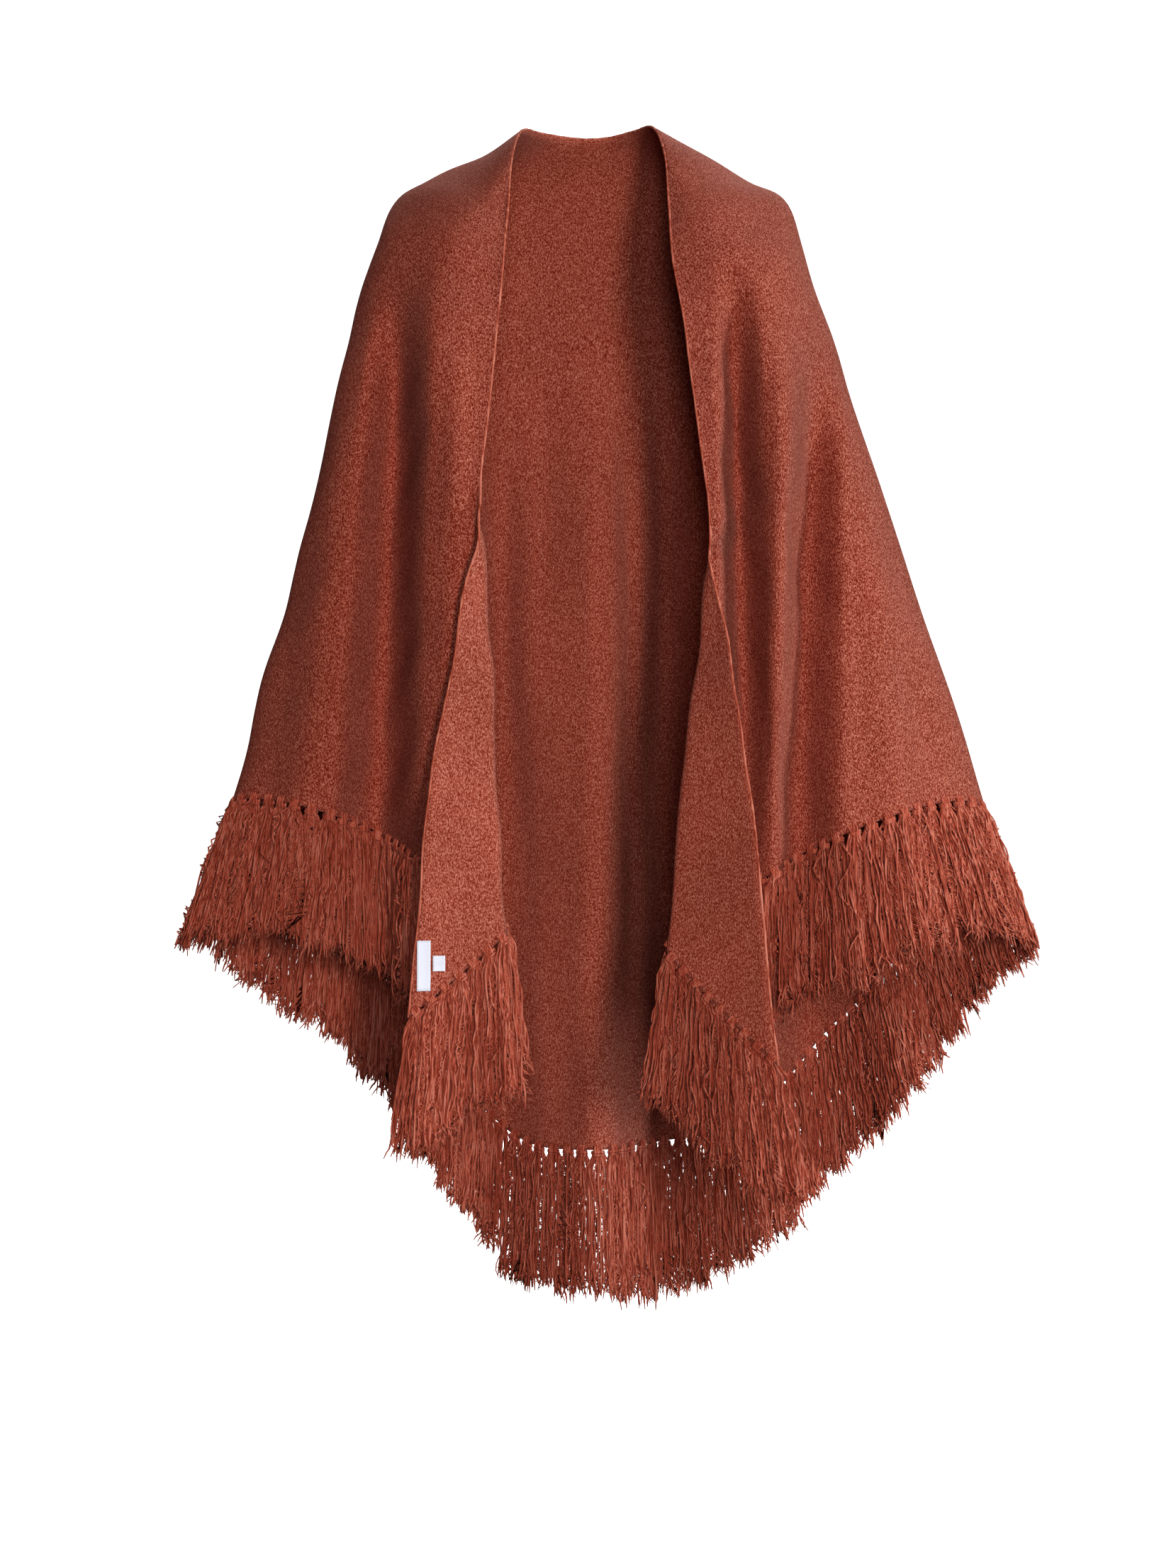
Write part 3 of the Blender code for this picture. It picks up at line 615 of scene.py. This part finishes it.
fringeParts = (       # piece, CAD node, column of the cloth where it ends
    ("tasselsEdgeLeft", "fringe_edge_left", 22.0),
    ("tasselsFrontLeftInner", "fringe_front_left_inner", 47.6),
    ("tasselsFrontLeftOuter", "fringe_front_left_outer", 70.0),
    ("tasselsSideLeft", "fringe_side_left", 98.0),
    ("tasselsBackLeftOuter", "fringe_back_left_outer", 126.0),
    ("tasselsBackLeftInner", "fringe_back_left_inner", 154.0),
    ("tasselsBackRightInner", "fringe_back_right_inner", 182.0),
    ("tasselsBackRightOuter", "fringe_back_right_outer", 210.0),
    ("tasselsSideRight", "fringe_side_right", 238.0),
    ("tasselsFrontRightOuter", "fringe_front_right_outer", 260.4),
    ("tasselsFrontRightInner", "fringe_front_right_inner", 286.0),
    ("tasselsEdgeRight", "fringe_edge_right", 308.1),
)


def hemFrames():
    hem = clothPoints[-1]
    down = hem - clothPoints[-4]
    down /= np.linalg.norm(down, axis=1)[:, None]
    along = np.gradient(hem, axis=0)
    along /= np.linalg.norm(along, axis=1)[:, None]
    through = np.cross(along, down)
    through /= np.linalg.norm(through, axis=1)[:, None]
    out = np.cross(through, along)
    out *= np.sign(np.sum(out * down, axis=1))[:, None]
    return hem, along, out, through, down


hemData = hemFrames()
hemLengths = np.concatenate([[0.0], np.cumsum(np.linalg.norm(np.diff(hemData[0], axis=0), axis=1))])


def readHem(length):     # root point and directions at a length along the hem
    rows = [np.array([np.interp(length, hemLengths, data[:, k]) for k in range(3)]) for data in hemData]
    return [rows[0]] + [row / np.linalg.norm(row) for row in rows[1:]]


def reachAt(root):     # length of a tassel at this root against the fringe's length
    reach = np.array(fringeReach)
    return np.interp(root[0], reach[:, 0], reach[:, 1 if root[1] < 0.0 else 2])


def tasselPaths(length, chance):
    root, along, out, through, down = readHem(length)
    hang = down + np.array([0.245 * root[0], 0.10 * root[1], -0.10])
    hang /= np.linalg.norm(hang)
    level = np.linalg.norm(along[:2])
    flat = np.array([along[0], along[1], 0.0]) / level
    deep = np.cross(flat, hang)
    deep /= np.linalg.norm(deep)
    count, steps = fringe["yarns"], fringe["steps"]
    t = np.linspace(0.0, 1.0, steps)[None, :]
    spread = smoothStep(t / fringe["spreadBy"])
    side = (np.linspace(-1.0, 1.0, count) + chance.normal(0.0, 0.12, count))[:, None]
    side = side[chance.permutation(count)]
    half = fringe["halfShare"] * fringe["spacing"] * level * (1.0 + 0.30 * t) * chance.uniform(0.92, 1.12)
    longer = fringe["length"] * reachAt(root) * (1.0 + chance.normal(0.0, 0.035))
    longer = longer * (1.0 + chance.normal(0.0, 0.03, (count, 1)))
    lean = (0.010 * math.sin(length * 118.0) + chance.normal(0.0, 0.011)) * t ** 1.3
    phase = chance.uniform(0.0, 2 * math.pi, (4, count, 1))
    waves = chance.uniform(1.4, 3.3, (2, count, 1))
    size = chance.gamma(2.2, 0.00050, (2, count, 1))
    strays = chance.uniform(0.0, 1.0, (2, count, 1)) < fringe["strayShare"]
    size *= np.where(strays, fringe["stray"], 1.0)
    across = side * (fringe["bundle"] * (1 - spread) + half * spread) + longer * lean
    across = across + spread * size[0] * np.sin(2 * math.pi * waves[0] * t + phase[0])
    across = across + spread * 0.45 * size[1] * np.sin(2 * math.pi * waves[0] * 1.7 * t + phase[2])
    fore = fringe["bundleDeep"] * (1 - spread) + fringe["hangDeep"] * spread
    fore = chance.normal(0.0, 1.0, (count, 1)) * fore
    fore = fore + spread * size[1] * np.sin(2 * math.pi * waves[1] * t + phase[1])
    tip = smoothStep((t - fringe["hookFrom"]) / (1.0 - fringe["hookFrom"])) ** 2
    hook = chance.normal(0.0, fringe["hook"], (count, 1)) * tip       # loose ends curl
    across = across + hook
    start = root + out * fringe["startDrop"]
    fall = longer * t - 0.9 * np.abs(hook)
    paths = start + hang * fall[:, :, None] + flat * across[:, :, None] + deep * fore[:, :, None]
    radii = np.full((count, steps), fringe["yarnRadius"]) * chance.uniform(0.8, 1.2, (count, 1))
    radii[:, -1] *= fringe["tipShare"]
    return paths, radii


def knotPaths(length):     # a loop over the edge of the cloth and the turns that hold it
    root, along, out, through, down = readHem(length)
    turn = np.linspace(0.0, 2 * math.pi, knot["points"])
    paths = []
    for k in range(knot["turns"]):
        middle = root + out * (0.0016 + knot["turnStep"] * k)
        wide = knot["halfWidth"] + 0.0005 * math.sin(k * 2.0)
        paths.append(middle + along * (wide * np.cos(turn))[:, None]
                     + through * (knot["halfDepth"] * np.sin(turn))[:, None]
                     + out * (0.0005 * np.sin(turn + k))[:, None])
    rise = np.linspace(0.0, 1.0, knot["points"])
    for k in range(knot["loops"]):
        place = (k - (knot["loops"] - 1) / 2) * knot["loopStep"]
        paths.append(root + along * (place + 0.0003 * np.sin(rise * 5.0))[:, None]
                     + out * (0.0035 - knot["loopRise"] * np.sin(rise * math.pi))[:, None]
                     + through * (0.0026 * np.cos(rise * math.pi))[:, None])
    paths = np.array(paths)
    return paths, np.full(paths.shape[:2], knot["radius"])


def makeTassels():
    chance = np.random.default_rng(fringe["seed"])
    count = int(hemLengths[-1] / fringe["spacing"])
    middles = (np.arange(count) + 0.5) * hemLengths[-1] / count
    columns = np.interp(middles, hemLengths, np.arange(len(hemLengths)))
    first = 0.0
    made = []
    for name, node, last in fringeParts:
        own = [m for m, c in zip(middles, columns) if first <= c < last]
        first = last
        bm = bmesh.new()
        for length in own:
            sweepMany(bm, *tasselPaths(length, chance), fringe["yarnSides"])
            sweepMany(bm, *knotPaths(length), knot["sides"])
        bmesh.ops.recalc_face_normals(bm, faces=bm.faces[:])
        piece = finishMesh(name, bm, [yarnMaterial])
        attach(piece, "root")
        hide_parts(node)
        made.append(piece)
    print("tassels made:", count)
    return made


tassels = makeTassels()

# The labels are bare and lie on the turned back edge at the left. They carry no script.
labelWall = 0.0007
labels = {
    "labelWovenBlank": {"node": "label_woven_blank", "x": -0.1535, "z": -0.8150, "width": 0.0125,
                        "height": 0.047, "lift": 0.0022},
    "tagSmallBlank": {"node": "tag_small_blank", "x": -0.1395, "z": -0.8130, "width": 0.0115,
                      "height": 0.0145, "lift": 0.0024},
}


def makeLabel(name, facts, tree):
    bm = bmesh.new()
    bmesh.ops.create_grid(bm, x_segments=6, y_segments=14, size=0.5)
    for vert in bm.verts:
        px = facts["x"] + vert.co.x * facts["width"]
        pz = facts["z"] + vert.co.y * facts["height"]
        curl = 0.0006 * (2 * vert.co.x) ** 2 + 0.0005 * math.sin(vert.co.y * 6.0)
        hit = tree.ray_cast(Vector((px, -0.5, pz)), Vector((0.0, 1.0, 0.0)))[0]
        vert.co = Vector((px, hit.y - facts["lift"] - curl, pz))
    bmesh.ops.recalc_face_normals(bm, faces=bm.faces[:])
    piece = finishMesh(name, bm, [tapeMaterial])
    wall = piece.modifiers.new("wall", "SOLIDIFY")
    wall.thickness = labelWall
    wall.offset = 0.0
    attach(piece, "root")
    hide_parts(facts["node"])
    return piece


def clothTree():
    rows, columns = clothPoints.shape[:2]
    firsts = [r * columns + c for r in range(rows - 1) for c in range(columns - 1)]
    corners = [(n, n + 1, n + columns + 1, n + columns) for n in firsts]
    return BVHTree.FromPolygons([Vector(p) for p in clothPoints.reshape(-1, 3)], corners)


surfaceTree = clothTree()
labelPieces = [makeLabel(name, facts, surfaceTree) for name, facts in labels.items()]
print("labels made")


studio = {"floorZ": -1.20, "floorHalf": 14.0, "lens": 74.42, "sensor": 36.0, "camera": (0.0, -3.2, -0.645)}
areaLights = (       # name, place, target, size, power, colour
    ("keyLight", (2.9, -1.1, 0.10), (0.0, 0.0, -0.6), (0.6, 1.2), 60.0, (0.80, 1.07, 1.16)),
    ("frontLight", (1.66, -7.6, -0.45), (0.0, 0.0, -0.6), (0.9, 2.4), 350.0, (1.0, 0.93, 0.86)),
    ("openingLight", (0.15, -7.6, -0.5), (0.0, 0.0, -0.6), (0.9, 2.4), 185.0, (1.0, 1.08, 1.12)),
    ("topLight", (0.0, 0.6, 2.4), (0.0, 0.3, -0.5), (2.5, 2.5), 5.0, (1.0, 1.0, 1.0)),
    ("backLight", (0.0, 2.2, 1.7), (0.0, 0.15, -0.6), (2.0, 0.8), 75.0, (1.0, 1.0, 1.0)),
    ("leftLight", (-3.0, 0.9, 0.3), (0.0, 0.1, -0.6), (1.0, 1.4), 3.0, (1.0, 1.0, 1.0)),
)


def makeFloor():
    bm = bmesh.new()
    bmesh.ops.create_grid(bm, x_segments=2, y_segments=2, size=studio["floorHalf"])
    for vert in bm.verts:
        vert.co.z = studio["floorZ"]
    piece = finishMesh("paleFloor", bm, [makePaper()])
    return piece


def mixForCamera(tree, others, cameraSees, output):     # one shader for the camera, one for all other rays
    path = addNode(tree, "LightPath")
    mix = addNode(tree, "MixShader")
    tree.links.new(path.outputs["Is Camera Ray"], mix.inputs[0])
    tree.links.new(others.outputs[0], mix.inputs[1])
    tree.links.new(cameraSees.outputs[0], mix.inputs[2])
    tree.links.new(mix.outputs[0], tree.nodes[output].inputs["Surface"])


def makePaper():
    material = bpy.data.materials.new("palePaper")
    material.use_nodes = True
    tree = material.node_tree
    shown = tree.nodes["Principled BSDF"]       # the camera sees it near white
    shown.inputs["Base Color"].default_value = (0.90, 0.90, 0.90, 1)
    shown.inputs["Roughness"].default_value = 0.95
    shown.inputs["Specular IOR Level"].default_value = 0.0
    shown.inputs["Emission Color"].default_value = (1, 1, 1, 1)
    shown.inputs["Emission Strength"].default_value = 0.88
    bounce = addNode(tree, "BsdfDiffuse", {"Color": (0.08, 0.08, 0.08, 1)})   # it throws little light back
    mixForCamera(tree, bounce, shown, "Material Output")
    return material


def addArea(name, place, target, size, power, colour):
    light = bpy.data.lights.new(name, "AREA")
    light.shape = "RECTANGLE"
    light.size, light.size_y = size
    light.energy = power
    light.color = colour
    lamp = bpy.data.objects.new(name, light)
    lamp.location = place
    lamp.rotation_euler = (Vector(target) - Vector(place)).to_track_quat("-Z", "Y").to_euler()
    bpy.context.scene.collection.objects.link(lamp)


def makeWorld():
    world = bpy.data.worlds.new("studioWorld")
    world.use_nodes = True
    tree = world.node_tree
    shown = tree.nodes["Background"]
    shown.inputs["Color"].default_value = (1, 1, 1, 1)
    faintFill = {"Color": (1.0, 0.40, 0.28, 1), "Strength": 0.045}     # from all round, as in a warm room
    mixForCamera(tree, addNode(tree, "Background", faintFill), shown, "World Output")
    return world


def makeStudio():
    scene = bpy.context.scene
    camera = bpy.data.objects.new("camera", bpy.data.cameras.new("camera"))
    camera.data.lens = studio["lens"]
    camera.data.sensor_width = studio["sensor"]
    camera.location = studio["camera"]
    camera.rotation_euler = (math.pi / 2, 0.0, 0.0)
    scene.collection.objects.link(camera)
    scene.camera = camera
    makeFloor()
    for facts in areaLights:
        addArea(*facts)
    scene.world = makeWorld()
    scene.view_settings.view_transform = "Standard"
    scene.view_settings.look = "Medium High Contrast"


makeStudio()
print("studio made")
